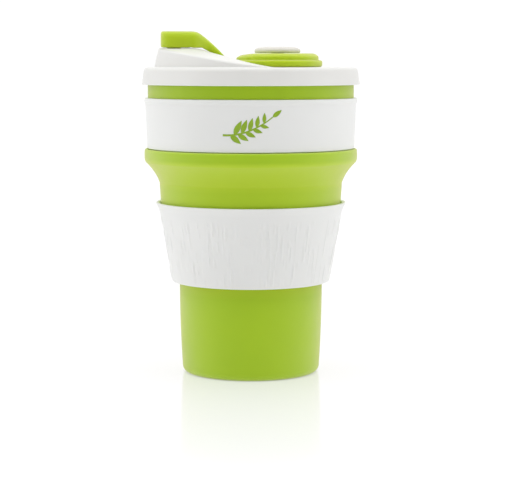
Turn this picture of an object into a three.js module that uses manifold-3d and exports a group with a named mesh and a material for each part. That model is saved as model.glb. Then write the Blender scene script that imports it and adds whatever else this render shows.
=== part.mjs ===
// Collapsible travel cup: a silicone body in three nesting sections joined by two folds, a stiff plastic
// band and a ribbed grip sleeve round it, and a press-on lid with a silicone stopper held by a snap button.
// Millimetres, +Z up. The origin is the centre of the base, on the surface that the cup stands on, and the
// drinking side of the lid faces -X.
import * as THREE from 'three';
import { mergeVertices } from 'three/addons/utils/BufferGeometryUtils.js';
import Module from 'manifold-3d';

const wasm = await Module();
wasm.setup();

// Facets round a full turn of the cup and of its small round parts, facets in a corner's curve, and the
// gap left between pieces that touch.
const TURN = 48;
const SMALL_TURN = 32;
const CURVE = 3;
const GAP = 0.2;

// Heights of the silicone body's sections, from the base up.
const LOWER_TOP = 41.5;
const MIDDLE_BOTTOM = 60;
const MIDDLE_TOP = 78.4;
const UPPER_BOTTOM = 87.8;
const NECK_BOTTOM = 114;
const RIM_TOP = 124.2;

// Outer radii of the silicone body, and its wall thicknesses.
const BASE_RADIUS = 28.4;
const LOWER_RADIUS = 29.8;
const SLEEVE_SEAT_RADIUS = 34.7;
const MIDDLE_RADIUS = 38;
const BEAD_RADIUS = 44.1;
const BAND_SEAT_RADIUS = 41.4;
const NECK_RADIUS = 42.55;
const WALL = 2;
const FOLD_WALL = 1.4;
const FLOOR = 3.2;

// The stiff band round the upper section and the grip sleeve round the middle one.
const BAND = { bottom: 92.7, top: 113.6, radius: 42.5, lipRadius: 43.6, inner: BAND_SEAT_RADIUS + GAP };
const SLEEVE = { bottom: 37.6, top: 70.7, bottomRadius: 32.4, topRadius: 37.6, lipRadius: 39.1, wall: 1.3 };

// The lid: skirt, flat top, and the raised crown at the drinking side.
const LID = { bottom: 119, top: 126.1, radius: 44.8, shoulderRadius: 43.9, flatRadius: 42, wall: 1.6 };
const SEAL = { outer: 39.7, inner: 38.4, bottom: 119.8 };
const CROWN = { radius: 39.3, draft: 0.21, height: 7.75, creaseHeight: 4.15, foot: 10, length: 32, power: 1.2 };
const SIP_HOLE = { x: -31.5, length: 6.4, width: 13 };
const VENT = { x: 35, radius: 0.9 };

// The stopper and the button that holds it. The hinge is the thin stretch of the strap beside the disc.
const DISC = { x: 10.95, lowerRadius: 18.5, upperRadius: 16.7, step: 130, top: 131.8, hole: 2.9 };
const HEAD = { left: -36.9, width: 15, bottom: 134.2, top: 140.8 };
const STRAP = { head: -12.5, width: 8 };
const POCKET_RADIUS = DISC.lowerRadius + 0.8;
const BUTTON = { radius: 9.45, top: 134.5, shank: 2.6, barb: 3.4, barbBottom: 121.6 };

// ---- Solids ----

// A three.js geometry as a solid that can be joined and cut.
function solid(geometry) {
  const bare = geometry.clone();
  bare.deleteAttribute('normal');
  bare.deleteAttribute('uv');
  const merged = mergeVertices(bare, 1e-4);
  const index = merged.index.array;
  const kept = [];
  for (let i = 0; i < index.length; i += 3) {
    const [a, b, c] = [index[i], index[i + 1], index[i + 2]];
    if (a !== b && b !== c && c !== a) {
      kept.push(a, b, c);
    }
  }
  const vertProperties = new Float32Array(merged.attributes.position.array);
  const triVerts = new Uint32Array(kept);
  return new wasm.Manifold(new wasm.Mesh({ numProp: 3, vertProperties, triVerts }));
}

// The solid's surface as a three.js geometry.
function surface(shape) {
  const mesh = shape.getMesh();
  const geometry = new THREE.BufferGeometry();
  geometry.setAttribute('position', new THREE.BufferAttribute(new Float32Array(mesh.vertProperties), 3));
  geometry.setIndex(new THREE.BufferAttribute(new Uint32Array(mesh.triVerts), 1));
  geometry.computeVertexNormals();
  return geometry;
}

// A body of revolution about Z. The outline is a path in (radius, height): out along the bottom, up the
// outside and back down the inside.
function turned(outline, centreX = 0, facets = TURN) {
  const points = outline.getPoints(CURVE);
  const geometry = new THREE.LatheGeometry(points, facets);
  geometry.rotateX(Math.PI / 2);
  geometry.translate(centreX, 0, 0);
  return geometry;
}

// An outline seen from the front, in (x, z), extruded across the given width in Y.
function frontProfile(shape, width) {
  const geometry = new THREE.ExtrudeGeometry(shape, { depth: width, bevelEnabled: false, curveSegments: CURVE });
  geometry.rotateX(Math.PI / 2);
  geometry.translate(0, width / 2, 0);
  return geometry;
}

// An outline seen from above, in (x, y), extruded between two heights.
function planProfile(shape, bottom, top) {
  const depth = top - bottom;
  const geometry = new THREE.ExtrudeGeometry(shape, { depth, bevelEnabled: false, curveSegments: CURVE });
  geometry.translate(0, 0, bottom);
  return geometry;
}

// A straight slot with round ends, longer in Y than in X.
function slotShape(centreX, length, width) {
  const end = length / 2;
  const straight = width / 2 - end;
  const shape = new THREE.Shape();
  shape.absarc(centreX, straight, end, 0, Math.PI, false);
  shape.absarc(centreX, -straight, end, Math.PI, 2 * Math.PI, false);
  return shape;
}

function cylinderBetween(radius, x, bottom, top, facets) {
  const geometry = new THREE.CylinderGeometry(radius, radius, top - bottom, facets);
  geometry.rotateX(Math.PI / 2);
  geometry.translate(x, 0, (bottom + top) / 2);
  return geometry;
}

// ---- Silicone body ----

// The curve of a fold's wall: upright at its narrow lower end and flaring at its wide upper end.
function foldCurve(path, from, to) {
  const lift = (to.z - from.z) * 0.28;
  path.quadraticCurveTo(from.radius, from.z + lift, to.radius, to.z);
}

// A fold: a trumpet-shaped web that turns inside out when the section above it is pushed down.
function fold(lower, upper) {
  const lowerInner = { radius: lower.radius - WALL, z: lower.z };
  const upperInner = { radius: upper.radius - FOLD_WALL - 0.3, z: upper.z };
  const outline = new THREE.Path();
  outline.moveTo(lower.radius, lower.z);
  foldCurve(outline, lower, upper);
  outline.lineTo(upperInner.radius, upperInner.z);
  const lift = (upper.z - lower.z) * 0.28;
  outline.quadraticCurveTo(lowerInner.radius, lower.z + lift + FOLD_WALL, lowerInner.radius, lowerInner.z);
  outline.lineTo(lower.radius, lower.z);
  return turned(outline);
}

// The cup's foot: a flat ring to stand on round a shallow recess, and an upright wall with a little draft.
function lowerCup() {
  const corner = 2.2;
  const inside = BASE_RADIUS - WALL;
  const outline = new THREE.Path();
  outline.moveTo(0, 0.8);
  outline.lineTo(18.5, 0.8);
  outline.lineTo(19.5, 0);
  outline.lineTo(BASE_RADIUS - corner, 0);
  outline.absarc(BASE_RADIUS - corner, corner, corner, -Math.PI / 2, 0, false);
  outline.lineTo(LOWER_RADIUS, LOWER_TOP);
  outline.lineTo(LOWER_RADIUS - WALL, LOWER_TOP);
  outline.lineTo(inside, FLOOR + corner);
  outline.quadraticCurveTo(inside, FLOOR, inside - corner, FLOOR);
  outline.lineTo(0, FLOOR);
  return turned(outline);
}

function lowerFold() {
  return fold({ radius: LOWER_RADIUS, z: LOWER_TOP }, { radius: SLEEVE_SEAT_RADIUS, z: MIDDLE_BOTTOM });
}

// The middle section: a seat for the grip sleeve with a ledge over it, and the exposed wall above.
function middleWall() {
  const ledge = 69.4;
  const seatTop = 66.4;
  const outline = new THREE.Path();
  outline.moveTo(SLEEVE_SEAT_RADIUS - FOLD_WALL - 0.3, MIDDLE_BOTTOM);
  outline.lineTo(SLEEVE_SEAT_RADIUS, MIDDLE_BOTTOM);
  outline.lineTo(35.9, seatTop);
  outline.lineTo(37.4, ledge);
  outline.lineTo(MIDDLE_RADIUS, MIDDLE_TOP);
  outline.lineTo(MIDDLE_RADIUS - WALL, MIDDLE_TOP);
  outline.lineTo(35.3, ledge);
  outline.lineTo(34.2, seatTop);
  outline.closePath();
  return turned(outline);
}

function upperFold() {
  return fold({ radius: MIDDLE_RADIUS, z: MIDDLE_TOP }, { radius: 43.7, z: UPPER_BOTTOM });
}

// The upper section: the bead that rests on the hand, the seat for the band, the neck and the rim.
function upperWall() {
  const rimRadius = 42.9;
  const rimInner = 40.1;
  const outline = new THREE.Path();
  outline.moveTo(43.7 - FOLD_WALL - 0.3, UPPER_BOTTOM);
  outline.lineTo(43.7, UPPER_BOTTOM);
  outline.lineTo(BEAD_RADIUS, UPPER_BOTTOM + 0.8);
  outline.lineTo(BEAD_RADIUS, 91.4);
  outline.quadraticCurveTo(BEAD_RADIUS, BAND.bottom - GAP, 42.9, BAND.bottom - GAP);
  outline.lineTo(BAND_SEAT_RADIUS, BAND.bottom - GAP);
  outline.lineTo(BAND_SEAT_RADIUS, NECK_BOTTOM);
  outline.lineTo(NECK_RADIUS, NECK_BOTTOM);
  outline.lineTo(NECK_RADIUS, 121.6);
  outline.lineTo(rimRadius, 122.2);
  outline.lineTo(rimRadius, RIM_TOP - 0.6);
  outline.quadraticCurveTo(rimRadius, RIM_TOP, rimRadius - 0.6, RIM_TOP);
  outline.lineTo(rimInner, RIM_TOP);
  outline.lineTo(rimInner, NECK_BOTTOM);
  outline.lineTo(39.9, 97);
  outline.lineTo(40.3, 93.6);
  outline.lineTo(42, 90.6);
  outline.closePath();
  return turned(outline);
}

// ---- Stiff rings ----

function upperBand() {
  const lip = 1.6;
  const outline = new THREE.Path();
  outline.moveTo(BAND.inner, BAND.bottom);
  outline.lineTo(BAND.radius, BAND.bottom);
  outline.lineTo(BAND.radius + 0.5, BAND.top - lip - 1);
  outline.quadraticCurveTo(BAND.lipRadius, BAND.top - lip - 0.6, BAND.lipRadius, BAND.top - lip);
  outline.lineTo(BAND.lipRadius, BAND.top - 0.4);
  outline.lineTo(BAND.lipRadius - 0.4, BAND.top);
  outline.lineTo(BAND.inner, BAND.top);
  outline.closePath();
  return turned(outline);
}

// The grip sleeve: a cone that opens upwards, with a lip flared out at its top.
function gripSleeve() {
  const { bottom, top, bottomRadius, topRadius, lipRadius, wall } = SLEEVE;
  const kneeRadius = 36.1;
  const knee = 60;
  const flare = 67.6;
  const outline = new THREE.Path();
  outline.moveTo(bottomRadius - wall, bottom);
  outline.lineTo(bottomRadius - 0.6, bottom);
  outline.lineTo(bottomRadius, bottom + 0.6);
  outline.lineTo(kneeRadius, knee);
  outline.lineTo(topRadius, flare);
  outline.lineTo(lipRadius, top - 0.8);
  outline.lineTo(lipRadius - 0.3, top);
  outline.lineTo(lipRadius - 0.9, top);
  outline.lineTo(topRadius - wall, flare - 0.4);
  outline.lineTo(kneeRadius - wall, knee);
  outline.closePath();
  return turned(outline);
}

// ---- Lid ----

// How far up the ramp a point is: 0 at the ramp's foot, 1 at the crown's flat top, and more beyond it.
function rise(x) {
  return Math.max(0, (CROWN.foot - x) / CROWN.length) ** CROWN.power;
}

// Height of the crown's domed top: highest along the middle, falling to the crease round its edge.
function crownTop(x, y) {
  const ridge = CROWN.height * Math.min(1, rise(x));
  const crease = CROWN.creaseHeight * rise(x);
  const halfWidth = Math.sqrt(Math.max(1, (CROWN.radius - 1) ** 2 - x * x));
  const across = Math.min(1, Math.abs(y) / halfWidth);
  return LID.top + Math.max(0, ridge + (crease - ridge) * across * across);
}

// What is cut away above the lid's surface: the air over the crown, the round pocket that the stopper's
// disc lies in, and the channel that its strap runs in. A positive depth lowers and widens all of them.
function spaceAbove(depth) {
  const size = 2 * LID.radius;
  const ceiling = 145;
  const air = new THREE.BoxGeometry(size, size, 20, 18, 14, 1);
  const position = air.attributes.position;
  for (let i = 0; i < position.count; i += 1) {
    const x = position.getX(i);
    const y = position.getY(i);
    position.setZ(i, position.getZ(i) > 0 ? ceiling : crownTop(x, y) - depth);
  }
  const pocket = cylinderBetween(POCKET_RADIUS + depth, DISC.x, LID.top - depth, ceiling, SMALL_TURN);
  const channel = new THREE.Shape([
    new THREE.Vector2(0, 126.6 - depth),
    new THREE.Vector2(-9 - depth / 2, 127.7 - depth),
    new THREE.Vector2(-20 - depth, 133.9 - depth),
    new THREE.Vector2(-20 - depth, ceiling),
    new THREE.Vector2(0, ceiling),
  ]);
  return solid(air)
    .add(solid(pocket))
    .add(solid(frontProfile(channel, STRAP.width + 1 + 2 * depth)));
}

// A drafted plug of the crown's plan, narrower by the given inset.
function crownPlug(inset, bottom) {
  const top = 136;
  const radiusAt = (z) => CROWN.radius - inset - CROWN.draft * (z - LID.top);
  const outline = new THREE.Path();
  outline.moveTo(0, bottom);
  outline.lineTo(radiusAt(bottom), bottom);
  outline.lineTo(radiusAt(top), top);
  outline.lineTo(0, top);
  return solid(turned(outline));
}

// The skirt that grips the rim from outside, the flat top, and the sealing ring that fits inside the rim.
function lidPlate() {
  const underside = LID.top - LID.wall;
  const skirtInner = 43.2;
  const outline = new THREE.Path();
  outline.moveTo(0, underside);
  outline.lineTo(SEAL.inner, underside);
  outline.lineTo(SEAL.inner, SEAL.bottom);
  outline.lineTo(SEAL.outer - 0.4, SEAL.bottom);
  outline.lineTo(SEAL.outer, SEAL.bottom + 0.8);
  outline.lineTo(SEAL.outer, underside);
  outline.lineTo(skirtInner, underside);
  outline.lineTo(skirtInner, LID.bottom);
  outline.lineTo(LID.radius, LID.bottom);
  outline.lineTo(LID.radius - 0.1, LID.bottom + 2);
  outline.lineTo(LID.shoulderRadius, LID.top - 1.8);
  outline.quadraticCurveTo(LID.shoulderRadius - 0.3, LID.top, LID.flatRadius, LID.top);
  outline.lineTo(0, LID.top);
  return solid(turned(outline));
}

function lidShell() {
  const shell = lidPlate()
    .add(crownPlug(0, LID.top - 1).subtract(spaceAbove(0)))
    .subtract(crownPlug(LID.wall, LID.top - LID.wall - 1).subtract(spaceAbove(LID.wall)));
  const sipHole = planProfile(slotShape(SIP_HOLE.x, SIP_HOLE.length, SIP_HOLE.width), 128, 140);
  const buttonHole = cylinderBetween(DISC.hole, DISC.x, 120, 130, 24);
  const ventHole = cylinderBetween(VENT.radius, VENT.x, 120, 130, 12);
  return surface(shell.subtract(solid(sipHole)).subtract(solid(buttonHole)).subtract(solid(ventHole)));
}

// ---- Stopper ----

// The round disc in two tiers, its upper one sloping down towards the strap.
function stopperDisc() {
  const bottom = LID.top + GAP / 2;
  const { lowerRadius, upperRadius, step, top, hole } = DISC;
  const outline = new THREE.Path();
  outline.moveTo(hole, bottom);
  outline.lineTo(lowerRadius - 0.8, bottom);
  outline.quadraticCurveTo(lowerRadius, bottom, lowerRadius, bottom + 0.8);
  outline.lineTo(lowerRadius, step - 1.6);
  outline.quadraticCurveTo(lowerRadius, step, upperRadius, step);
  outline.lineTo(upperRadius, top - 1);
  outline.quadraticCurveTo(upperRadius, top, upperRadius - 1.4, top);
  outline.lineTo(hole, top);
  outline.closePath();
  const slope = new THREE.Shape([
    new THREE.Vector2(3, top + 0.1),
    new THREE.Vector2(-6.4, 129.7),
    new THREE.Vector2(-12, 129.7),
    new THREE.Vector2(-12, top + 3),
    new THREE.Vector2(3, top + 3),
  ]);
  const disc = solid(turned(outline, DISC.x, SMALL_TURN));
  return surface(disc.subtract(solid(frontProfile(slope, 2 * lowerRadius))));
}

// The thin strap in its channel. It is the living hinge that the head lifts on.
function stopperStrap() {
  const shape = new THREE.Shape([
    new THREE.Vector2(-7.9, 127.9),
    new THREE.Vector2(-7.9, 129.6),
    new THREE.Vector2(-9, 129.7),
    new THREE.Vector2(STRAP.head, 131.9),
    new THREE.Vector2(STRAP.head, 130.2),
    new THREE.Vector2(-9, 128.2),
  ]);
  return frontProfile(shape, STRAP.width);
}

// The head: a thumb tab with a flat top, a shoulder that slopes down to the strap, and the plug beneath
// that fills the sip hole.
function stopperHead() {
  const { left, width, bottom, top } = HEAD;
  const end = STRAP.head - GAP;
  const side = new THREE.Shape();
  side.moveTo(left + 1, bottom);
  side.quadraticCurveTo(left, bottom, left, bottom + 1);
  side.lineTo(left, top - 0.6);
  side.lineTo(left + 0.6, top);
  side.lineTo(-22.7, top);
  side.quadraticCurveTo(-20.6, top, -19, 138.9);
  side.lineTo(end, 132.1);
  side.lineTo(end, 130.6);
  side.lineTo(-19.6, 134);
  side.lineTo(-21, bottom);
  const half = width / 2;
  const neck = STRAP.width / 2;
  const corner = 5;
  const plan = new THREE.Shape();
  plan.moveTo(end + 1, -neck);
  plan.lineTo(end + 1, neck);
  plan.lineTo(-17, neck);
  plan.lineTo(-23, half);
  plan.lineTo(left + corner, half);
  plan.absarc(left + corner, half - corner, corner, Math.PI / 2, Math.PI, false);
  plan.absarc(left + corner, corner - half, corner, Math.PI, 1.5 * Math.PI, false);
  plan.lineTo(-23, -half);
  plan.lineTo(-17, -neck);
  const tab = solid(frontProfile(side, width + 2)).intersect(solid(planProfile(plan, 120, 150)));
  const slack = 1.2;
  const plug = new THREE.ExtrudeGeometry(slotShape(SIP_HOLE.x, SIP_HOLE.length - slack, SIP_HOLE.width - slack), {
    depth: 4,
    bevelThickness: 0.6,
    bevelSize: 0.6,
    bevelOffset: -0.6,
    bevelSegments: 1,
    curveSegments: CURVE,
  });
  plug.translate(0, 0, 130.7);
  return surface(tab.add(solid(plug)));
}

// The button: a round cap, a shank through the disc and the lid, and a split barb that snaps under the lid.
function stopperButton() {
  const capBottom = DISC.top + GAP / 2;
  const { radius, top, shank, barb, barbBottom } = BUTTON;
  const barbTop = LID.top - LID.wall - GAP;
  const outline = new THREE.Path();
  outline.moveTo(0, barbBottom);
  outline.lineTo(shank - 0.4, barbBottom);
  outline.lineTo(barb, barbTop - 0.6);
  outline.lineTo(barb, barbTop);
  outline.lineTo(shank, barbTop);
  outline.lineTo(shank, capBottom);
  outline.lineTo(radius - 0.5, capBottom);
  outline.lineTo(radius, capBottom + 0.6);
  outline.lineTo(radius, top - 1.1);
  outline.quadraticCurveTo(radius, top, radius - 1.8, top);
  outline.lineTo(0, top);
  const split = new THREE.BoxGeometry(1, 2 * radius, 6);
  split.translate(DISC.x, 0, barbBottom + 2);
  return surface(solid(turned(outline, DISC.x, SMALL_TURN)).subtract(solid(split)));
}

// ---- Assembly ----

const siliconeGreen = { color: '#9cc02a', roughness: 0.55, metalness: 0 };
const plasticWhite = { color: '#f1f1ef', roughness: 0.4, metalness: 0 };

const pieces = [
  ['lower_cup', lowerCup, siliconeGreen],
  ['lower_fold', lowerFold, siliconeGreen],
  ['middle_wall', middleWall, siliconeGreen],
  ['upper_fold', upperFold, siliconeGreen],
  ['upper_wall', upperWall, siliconeGreen],
  ['upper_band', upperBand, plasticWhite],
  ['grip_sleeve', gripSleeve, plasticWhite],
  ['lid_shell', lidShell, plasticWhite],
  ['stopper_disc', stopperDisc, siliconeGreen],
  ['stopper_strap', stopperStrap, siliconeGreen],
  ['stopper_head', stopperHead, siliconeGreen],
  ['stopper_button', stopperButton, plasticWhite],
];

const cup = new THREE.Group();
for (const [name, build, finish] of pieces) {
  const mesh = new THREE.Mesh(build(), new THREE.MeshStandardMaterial(finish));
  mesh.name = name;
  cup.add(mesh);
}

export default cup;
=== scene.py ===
"""Looks of the collapsible travel cup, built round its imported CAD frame.

Metres, with +Z up. The drinking side is at -X and the camera looks from -Y.
"""

import math

import bpy
import numpy as np
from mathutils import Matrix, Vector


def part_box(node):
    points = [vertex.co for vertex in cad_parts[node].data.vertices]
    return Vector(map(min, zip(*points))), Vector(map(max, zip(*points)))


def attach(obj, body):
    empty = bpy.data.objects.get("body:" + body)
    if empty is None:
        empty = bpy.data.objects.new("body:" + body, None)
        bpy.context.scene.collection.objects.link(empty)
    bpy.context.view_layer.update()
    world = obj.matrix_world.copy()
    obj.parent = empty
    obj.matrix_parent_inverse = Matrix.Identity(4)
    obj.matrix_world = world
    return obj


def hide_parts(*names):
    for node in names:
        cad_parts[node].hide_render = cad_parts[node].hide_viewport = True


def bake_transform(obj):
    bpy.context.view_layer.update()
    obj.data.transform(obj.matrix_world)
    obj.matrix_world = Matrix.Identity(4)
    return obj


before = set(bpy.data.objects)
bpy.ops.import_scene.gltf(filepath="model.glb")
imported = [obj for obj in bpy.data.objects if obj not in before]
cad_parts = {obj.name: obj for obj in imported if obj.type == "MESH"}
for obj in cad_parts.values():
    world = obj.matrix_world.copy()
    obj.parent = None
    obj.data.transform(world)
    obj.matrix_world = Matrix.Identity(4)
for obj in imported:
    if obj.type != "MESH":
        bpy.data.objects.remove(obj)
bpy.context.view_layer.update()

MM = 0.001


# ---- Places and sizes taken from the frame ----


def levels(node):
    """Bottom height, top height and outer radius of a round CAD node."""
    low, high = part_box(node)
    return low.z, high.z, (high.x - low.x) / 2


FOOT_BOTTOM, FOOT_TOP, FOOT_RADIUS = levels("lower_cup")
MIDDLE_BOTTOM, MIDDLE_TOP, MIDDLE_RADIUS = levels("middle_wall")
UPPER_BOTTOM, RIM_TOP, BEAD_RADIUS = levels("upper_wall")
SEAT_RADIUS = levels("lower_fold")[2]
FOLD_RADIUS = levels("upper_fold")[2]
BAND_BOTTOM, BAND_TOP, BAND_RADIUS = levels("upper_band")
CAD_SLEEVE_BOTTOM, CAD_SLEEVE_TOP, SLEEVE_RADIUS = levels("grip_sleeve")
LID_BOTTOM, CROWN_TOP, LID_RADIUS = levels("lid_shell")
DISC_BOTTOM, DISC_TOP, DISC_RADIUS = levels("stopper_disc")
BUTTON_BOTTOM, BUTTON_TOP, BUTTON_RADIUS = levels("stopper_button")
BUTTON_LOW, BUTTON_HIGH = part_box("stopper_button")
DISC_X = (BUTTON_LOW.x + BUTTON_HIGH.x) / 2
STRAP_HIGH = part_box("stopper_strap")[1]
HEAD_LOW, HEAD_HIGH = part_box("stopper_head")

# Sizes that several pieces share.
WALL = 2.0 * MM
FOLD_WALL = 1.4 * MM
LID_WALL = 1.6 * MM
SLEEVE_BOTTOM = CAD_SLEEVE_BOTTOM + 0.4 * MM
SLEEVE_TOP = CAD_SLEEVE_TOP + 0.1 * MM
LID_FLAT = DISC_BOTTOM - 0.1 * MM
NECK_RADIUS = BAND_RADIUS - 1.25 * MM
BAND_SEAT = NECK_RADIUS - 0.95 * MM
RIM_INNER = NECK_RADIUS - 2.25 * MM
SHANK_RADIUS = 2.6 * MM
BUTTON_HOLE = SHANK_RADIUS + 0.3 * MM


# ---- Mesh building ----

# Points round a turned piece, how far from an edge's ends its outermost added points lie, and the length
# under which an edge is dropped.
COLUMNS = 224
SUPPORT = 0.25 * MM
SHORTEST_EDGE = 0.0001 * MM


def smooth_step(x, start, stop):
    """0 below start, 1 above stop, and a soft rise between them."""
    t = np.clip((x - start) / (stop - start), 0, 1)
    return t * t * (3 - 2 * t)


def shade_smooth(mesh):
    """Turns smooth shading on for every face."""
    mesh.polygons.foreach_set("use_smooth", [True] * len(mesh.polygons))


def mesh_piece(name, points, faces, material):
    """A smooth-shaded mesh object in the scene."""
    mesh = bpy.data.meshes.new(name)
    mesh.from_pydata(np.asarray(points, float).tolist(), [], faces)
    shade_smooth(mesh)
    mesh.materials.append(material)
    mesh.update()
    piece = bpy.data.objects.new(name, mesh)
    bpy.context.scene.collection.objects.link(piece)
    return piece


def bend(start, corner, end, steps):
    """Points of a quadratic curve from start to end that heads for corner, both ends included."""
    t = np.linspace(0, 1, steps + 1)[:, None]
    start, corner, end = (np.asarray(p, float) for p in (start, corner, end))
    return (1 - t) ** 2 * start + 2 * t * (1 - t) * corner + t**2 * end


def rounded(corners, closed, steps=5):
    """An outline from corners (radius, height, cut): each corner is cut back by its cut and rounded.
    A cut stops just short of the middle of the shorter edge beside it."""
    count = len(corners)
    outline = []
    for i, (r, z, cut) in enumerate(corners):
        here = np.array((r, z))
        if cut == 0 or (not closed and i in (0, count - 1)):
            outline.append(here)
            continue
        before = np.array(corners[i - 1][:2]) - here
        after = np.array(corners[(i + 1) % count][:2]) - here
        room = 0.49 * min(np.linalg.norm(before), np.linalg.norm(after))
        back = min(cut, room)
        start = here + before / np.linalg.norm(before) * back
        end = here + after / np.linalg.norm(after) * back
        outline.extend(bend(start, here, end, steps))
    return np.array(outline)


def refined(outline, closed, longest=2.0 * MM):
    """The outline with points added along its flat stretches, so that smooth shading stays flat right up
    to a rounded corner."""
    fine = []
    count = len(outline)
    for i in range(count if closed else count - 1):
        a, b = outline[i], outline[(i + 1) % count]
        length = np.linalg.norm(b - a)
        if length < SHORTEST_EDGE:
            continue
        if length < 4 * SUPPORT:
            stops = [0.0]
        else:
            inner = np.linspace(SUPPORT, length - SUPPORT, max(2, int(length / longest) + 1))
            stops = [0.0, *(inner / length)]
        fine.extend(a + (b - a) * s for s in stops)
    if not closed:
        fine.append(outline[-1])
    return np.array(fine)


def skin(name, rings, material, poles=None):
    """A closed mesh through rings of equal length. Without two poles the last ring joins the first."""
    count = len(rings[0])
    points = np.concatenate(rings)
    faces = []

    def strip(a, b):
        for j in range(count):
            k = (j + 1) % count
            faces.append((a + j, a + k, b + k, b + j))

    for i in range(len(rings) - 1):
        strip(i * count, (i + 1) * count)
    tail = (len(rings) - 1) * count
    if poles is None:
        strip(tail, 0)
    else:
        first, last = len(points), len(points) + 1
        points = np.concatenate([points, np.array(poles)])
        for j in range(count):
            k = (j + 1) % count
            faces.append((first, k, j))
            faces.append((last, tail + j, tail + k))
    return mesh_piece(name, points, faces, material)


def ring_at(radius, z, columns=COLUMNS, centre_x=0.0):
    """A level circle of points."""
    turn = np.linspace(0, 2 * math.pi, columns, endpoint=False)
    return np.column_stack(
        [centre_x + radius * np.cos(turn), radius * np.sin(turn), np.full(columns, z)]
    )


def revolve(name, outline, material, closed, centre_x=0.0, columns=COLUMNS):
    """A turned piece. An open outline starts and ends on the axis."""
    outline = refined(outline, closed)
    if closed:
        rings = [ring_at(r, z, columns, centre_x) for r, z in outline]
        return skin(name, rings, material)
    rings = [ring_at(r, z, columns, centre_x) for r, z in outline[1:-1]]
    poles = [(centre_x, 0, outline[0][1]), (centre_x, 0, outline[-1][1])]
    return skin(name, rings, material, poles)


def add_boolean(piece, other, operation):
    """Adds a modifier that joins another object to a piece or cuts it out."""
    modifier = piece.modifiers.new(other.name, "BOOLEAN")
    modifier.operation = operation
    modifier.solver = "EXACT"
    modifier.object = other


def apply_modifiers(piece):
    """Bakes a piece's modifiers into its mesh."""
    evaluated = piece.evaluated_get(bpy.context.evaluated_depsgraph_get())
    mesh = bpy.data.meshes.new_from_object(evaluated)
    old = piece.data
    piece.modifiers.clear()
    piece.data = mesh
    bpy.data.meshes.remove(old)
    shade_smooth(mesh)


# ---- Materials ----

# The name under which a mesh stores, point by point, how much painted light its colour gets.
PAINTED_LIGHT_ATTRIBUTE = "painted_light_share"


def new_material(name):
    """A node material, with its tree and its shader."""
    material = bpy.data.materials.new(name)
    material.use_nodes = True
    tree = material.node_tree
    return material, tree, tree.nodes["Principled BSDF"]


def noise(tree, scale, detail):
    """A noise pattern in the object's own coordinates. scale is features per metre."""
    place = tree.nodes.new("ShaderNodeTexCoord")
    pattern = tree.nodes.new("ShaderNodeTexNoise")
    pattern.inputs["Scale"].default_value = scale
    pattern.inputs["Detail"].default_value = detail
    tree.links.new(place.outputs["Object"], pattern.inputs["Vector"])
    return pattern.outputs["Fac"]


def ranged(tree, value, low, high, start=0.3, stop=0.7):
    """Maps start..stop of a value to low..high. Noise keeps mostly between 0.3 and 0.7."""
    node = tree.nodes.new("ShaderNodeMapRange")
    node.inputs["From Min"].default_value = start
    node.inputs["From Max"].default_value = stop
    node.inputs["To Min"].default_value = low
    node.inputs["To Max"].default_value = high
    tree.links.new(value, node.inputs["Value"])
    return node.outputs["Result"]


def varied_colour(tree, shader, pattern, dark, light):
    """Base colour that wanders between two near tints."""
    mix = tree.nodes.new("ShaderNodeMix")
    mix.data_type = "RGBA"
    mix.inputs["A"].default_value = (*dark, 1)
    mix.inputs["B"].default_value = (*light, 1)
    tree.links.new(ranged(tree, pattern, 0, 1), mix.inputs["Factor"])
    tree.links.new(mix.outputs["Result"], shader.inputs["Base Color"])


def painted_light_colour(tree, shader, painted_light):
    """Mixes a lighter tint, painted light, over the base colour, by the share stored in the mesh."""
    solid = shader.inputs["Base Color"].links[0].from_socket
    painted_light_share = tree.nodes.new("ShaderNodeAttribute")
    painted_light_share.attribute_name = PAINTED_LIGHT_ATTRIBUTE
    mix = tree.nodes.new("ShaderNodeMix")
    mix.data_type = "RGBA"
    mix.inputs["B"].default_value = (*painted_light, 1)
    tree.links.new(painted_light_share.outputs["Fac"], mix.inputs["Factor"])
    tree.links.new(solid, mix.inputs["A"])
    tree.links.new(mix.outputs["Result"], shader.inputs["Base Color"])


def varied_roughness(tree, shader, pattern, low, high):
    """Slightly uneven gloss."""
    tree.links.new(ranged(tree, pattern, low, high), shader.inputs["Roughness"])


def surface_bump(tree, shader, heights, distance):
    """Bump from several patterns added together."""
    total = heights[0]
    for height in heights[1:]:
        add = tree.nodes.new("ShaderNodeMath")
        add.operation = "ADD"
        tree.links.new(total, add.inputs[0])
        tree.links.new(height, add.inputs[1])
        total = add.outputs["Value"]
    bump = tree.nodes.new("ShaderNodeBump")
    bump.inputs["Strength"].default_value = 1.0
    bump.inputs["Distance"].default_value = distance
    tree.links.new(total, bump.inputs["Height"])
    tree.links.new(bump.outputs["Normal"], shader.inputs["Normal"])


def silicone(name, dark, light, painted_light=None):
    """Matte moulded silicone: slightly translucent and dusty, with a lighter tint of painted light where
    the mesh stores a share of it.
    """
    material, tree, shader = new_material(name)
    varied_colour(tree, shader, noise(tree, scale=38, detail=2), dark, light)
    # A lighter tint, painted light, goes over the base colour where the mesh stores a share of it.
    if painted_light:
        painted_light_colour(tree, shader, painted_light)
    varied_roughness(tree, shader, noise(tree, scale=160, detail=4), 0.44, 0.56)
    fine = noise(tree, scale=2600, detail=2)
    soft = noise(tree, scale=420, detail=2)
    surface_bump(tree, shader, [fine, soft], 0.012 * MM)
    shader.inputs["Subsurface Weight"].default_value = 0.5
    shader.inputs["Subsurface Radius"].default_value = (1.0, 1.1, 0.25)
    shader.inputs["Subsurface Scale"].default_value = 2.4 * MM
    shader.inputs["Specular IOR Level"].default_value = 0.45
    shader.inputs["Specular Tint"].default_value = (1.0, 0.8, 0.4, 1)
    shader.inputs["Sheen Weight"].default_value = 0.5
    shader.inputs["Sheen Roughness"].default_value = 0.6
    shader.inputs["Sheen Tint"].default_value = (1.0, 0.78, 0.70, 1)
    return material


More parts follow.
